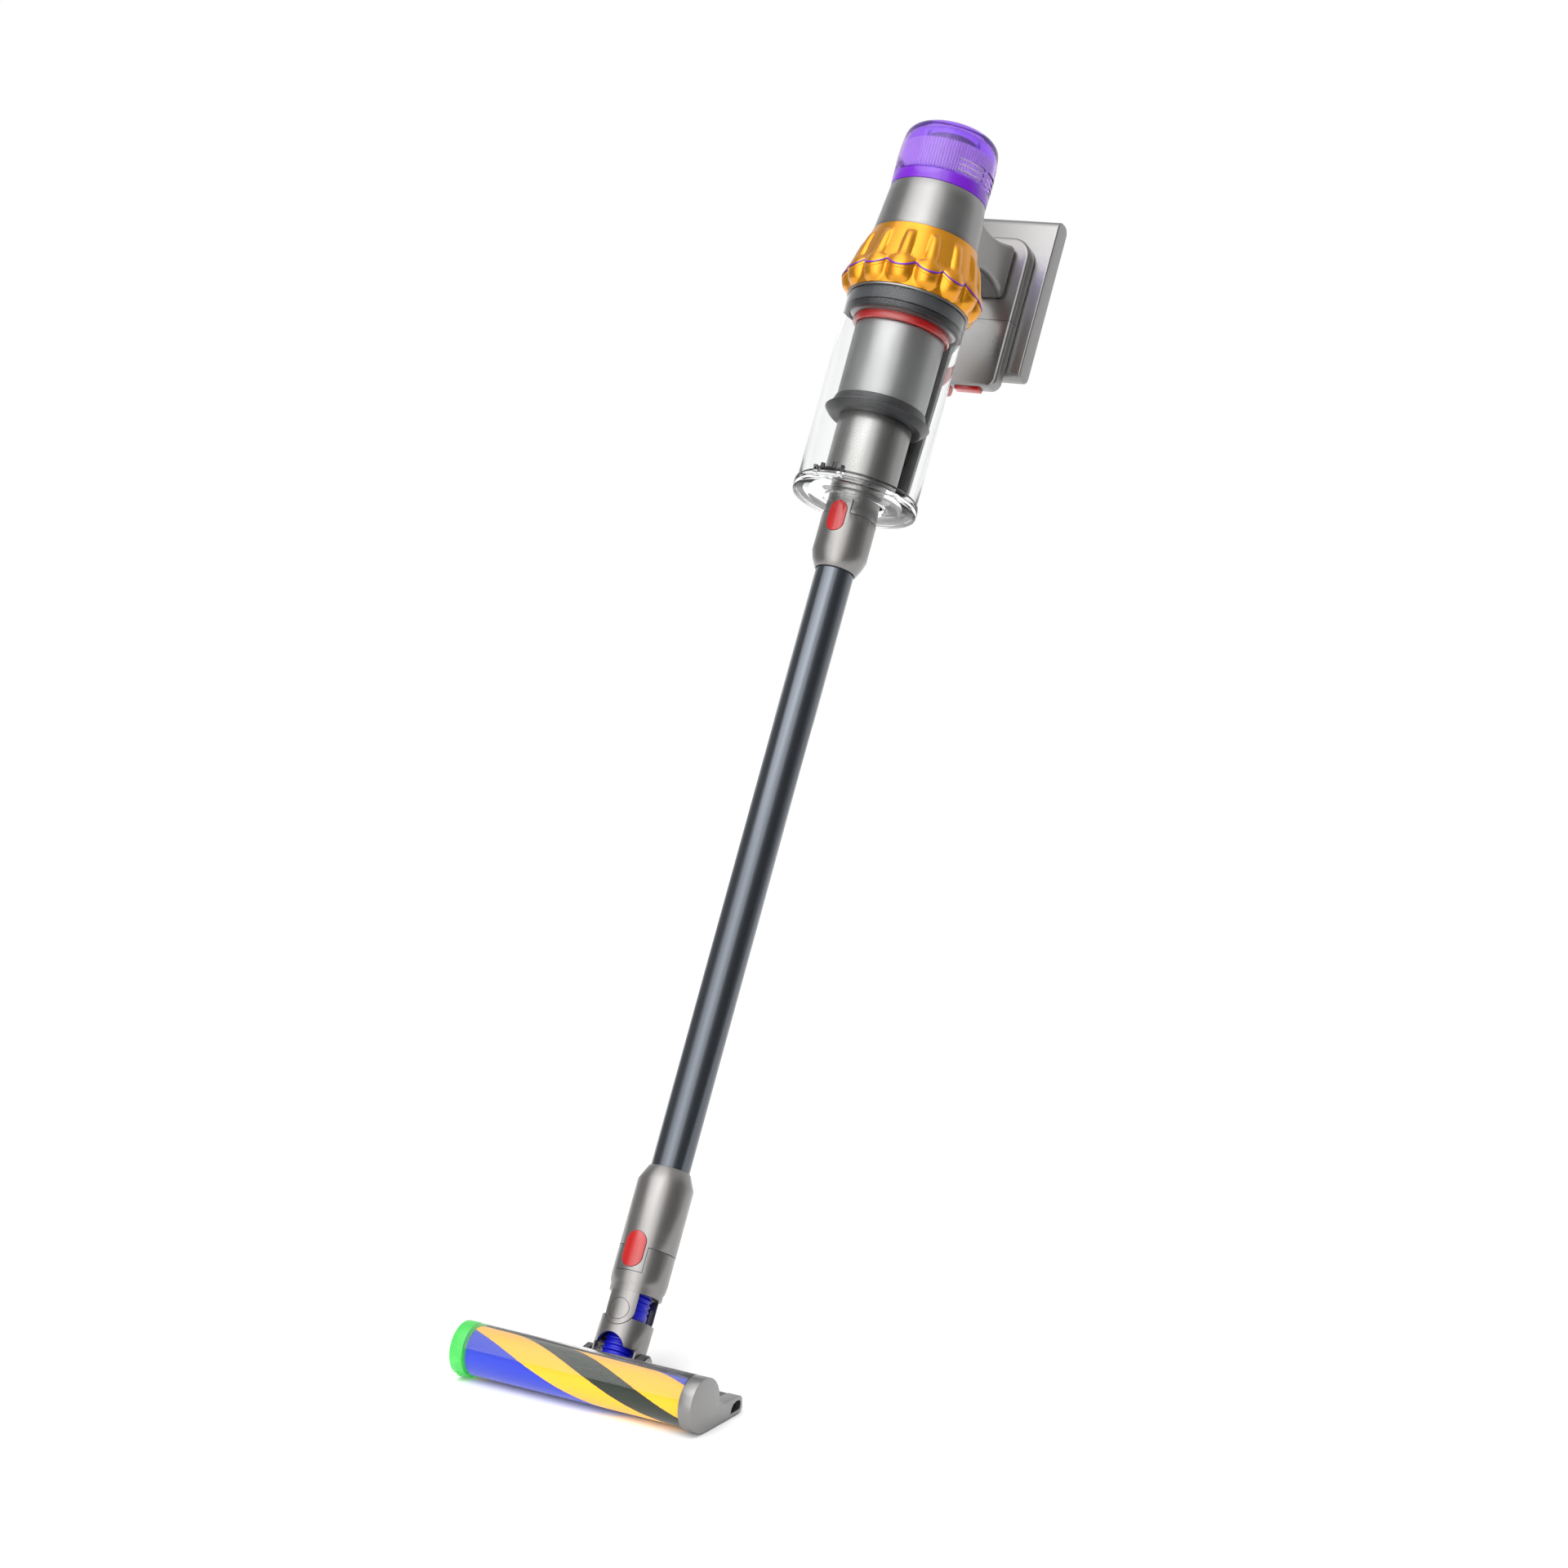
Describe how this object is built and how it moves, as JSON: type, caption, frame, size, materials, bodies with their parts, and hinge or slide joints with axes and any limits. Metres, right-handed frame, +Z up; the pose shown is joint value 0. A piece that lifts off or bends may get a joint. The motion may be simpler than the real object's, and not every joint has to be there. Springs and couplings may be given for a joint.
{
  "type": "cordless stick vacuum",
  "caption": "Cordless stick vacuum with a striped soft-roller head, slim wand, clear bin, gold cyclones, violet filter and a rear grip above a flat battery.",
  "frame": {"origin": "centre of the cleaning head's flat sole, on the floor", "axes": "+X along the cleaning head, -Y forwards in the cleaning direction, +Z up; the wand leans back towards +Y as pictured"},
  "size_m": [0.25, 0.8546, 1.0808],
  "materials": {
    "nickel": "satin warm nickel grey",
    "silver": "satin silver",
    "wand": "anodised dark grey, polished",
    "gold": "satin gold",
    "violet": "gloss violet",
    "clear_violet": "clear violet",
    "clear": "clear",
    "red": "gloss red",
    "black": "matte black",
    "graphite": "satin dark grey",
    "blue": "matte blue rubber",
    "nap": "soft striped nap",
    "green": "clear green",
    "steel": "fine perforated steel",
    "paper": "white pleated medium",
    "copper": "motor can"
  },
  "bodies": {
    "machine": {"inlet_socket": "silver", "inner_cylinder": "silver", "shroud_skirt": "black", "shroud_mesh": "steel", "shroud_ring": "red", "shroud_cone": "silver", "bin_seal": "black", "bin_head_ring": "silver", "bin_spine": "graphite", "cyclone_lower": "gold", "cyclone_seal": "violet", "cyclone_upper": "gold", "core_duct": "graphite", "motor_housing": "silver", "motor_can": "copper", "motor_end_plate": "graphite", "display": "black", "handle_grip": "nickel", "handle_foot": "nickel"},
    "impeller": {"impeller": "steel"},
    "trigger": {"trigger": "red"},
    "bin": {"dust_bin": "clear", "flap_hinge_pin": "steel"},
    "flap": {"bin_flap": "clear", "flap_seal": "black"},
    "bin_lever": {"bin_lever": "red"},
    "filter_base": {"filter_base": "violet", "filter_pleats": "paper"},
    "filter_cover": {"filter_cover": "clear_violet"},
    "battery": {"battery_body": "silver", "battery_plate": "silver"},
    "battery_release": {"battery_release": "red"},
    "wand": {"wand_tube": "wand", "wand_collar_lower": "nickel", "wand_collar_upper": "nickel"},
    "wand_button_upper": {"wand_button_upper": "red"},
    "wand_button_lower": {"wand_button_lower": "red"},
    "fork": {"neck_fork": "nickel", "swivel_pin_front": "nickel", "swivel_pin_rear": "nickel", "hose_upper": "blue"},
    "elbow": {"neck_elbow": "nickel", "hose_lower": "blue"},
    "head": {"head_housing": "graphite", "end_cap_right": "silver", "end_cap_left": "green", "floor_lamp": "green", "roller_hood": "clear", "sole_plate": "black", "neck_pin_right": "silver", "neck_pin_left": "silver", "roller_motor": "steel"},
    "roller": {"roller_core": "graphite", "roller_sleeve": "nap"},
    "wheel_right": {"wheel_right": "black"},
    "wheel_left": {"wheel_left": "black"}
  },
  "joints": [
    {"name": "wand_pull", "type": "slide", "parent": "machine", "child": "wand", "axis": [0.0366, -0.5108, -0.8589], "range_m": [0, 0.3]},
    {"name": "bin_slide", "type": "slide", "parent": "machine", "child": "bin", "axis": [0.0366, -0.5108, -0.8589], "range_m": [0, 0.03]},
    {"name": "flap_open", "type": "hinge", "parent": "bin", "child": "flap", "pos_m": [-0.02889, 0.38096, 0.76975], "axis": [-0.9993, -0.0187, -0.0315], "range_deg": [0, 100]},
    {"name": "bin_lever_push", "type": "slide", "parent": "machine", "child": "bin_lever", "axis": [0.0366, -0.5108, -0.8589], "range_m": [0, 0.01], "stiffness_N_per_m": 300},
    {"name": "trigger_pull", "type": "slide", "parent": "machine", "child": "trigger", "axis": [-0.0366, 0.5108, 0.8589], "range_m": [0, 0.006], "stiffness_N_per_m": 500},
    {"name": "filter_pull", "type": "slide", "parent": "machine", "child": "filter_base", "axis": [-0.0366, 0.5108, 0.8589], "range_m": [0, 0.08]},
    {"name": "filter_twist", "type": "hinge", "parent": "filter_base", "child": "filter_cover", "pos_m": [-0.04141, 0.60925, 1.03116], "axis": [-0.0366, 0.5108, 0.8589], "range_deg": [0, 30]},
    {"name": "battery_slide", "type": "slide", "parent": "machine", "child": "battery", "axis": [0.0366, -0.5108, -0.8589], "range_m": [0, 0.075]},
    {"name": "battery_release_press", "type": "slide", "parent": "battery", "child": "battery_release", "axis": [-0.0366, 0.5108, 0.8589], "range_m": [0, 0.0025], "stiffness_N_per_m": 800},
    {"name": "wand_button_upper_press", "type": "slide", "parent": "wand", "child": "wand_button_upper", "axis": [0, 0.8595, -0.5111], "range_m": [0, 0.0018], "stiffness_N_per_m": 900},
    {"name": "wand_button_lower_press", "type": "slide", "parent": "wand", "child": "wand_button_lower", "axis": [0, 0.8595, -0.5111], "range_m": [0, 0.0018], "stiffness_N_per_m": 900},
    {"name": "head_pull", "type": "slide", "parent": "wand", "child": "fork", "axis": [0.0366, -0.5108, -0.8589], "range_m": [0, 0.06]},
    {"name": "neck_swivel", "type": "hinge", "parent": "fork", "child": "elbow", "pos_m": [0, 0.03205, 0.06058], "axis": [0, 0.8595, -0.5111], "range_deg": [-24, 24]},
    {"name": "neck_pitch", "type": "hinge", "parent": "elbow", "child": "head", "pos_m": [0, 0.0116, 0.0262], "axis": [1, 0, 0], "range_deg": [-25, 45]},
    {"name": "roller_spin", "type": "hinge", "parent": "head", "child": "roller", "pos_m": [0, -0.044, 0.0248], "axis": [1, 0, 0], "continuous": true},
    {"name": "wheel_right_spin", "type": "hinge", "parent": "head", "child": "wheel_right", "pos_m": [0.048, 0.01, 0.0071], "axis": [1, 0, 0], "continuous": true},
    {"name": "wheel_left_spin", "type": "hinge", "parent": "head", "child": "wheel_left", "pos_m": [-0.048, 0.01, 0.0071], "axis": [1, 0, 0], "continuous": true},
    {"name": "impeller_spin", "type": "hinge", "parent": "machine", "child": "impeller", "pos_m": [-0.03866, 0.57094, 0.96674], "axis": [-0.0366, 0.5108, 0.8589], "continuous": true}
  ],
  "couplings": [
    {"joint": "bin_slide", "follows": "wand_pull", "ratio": 0.1},
    {"joint": "flap_open", "follows": "wand_pull", "rad_per_m": 5.8}
  ]
}
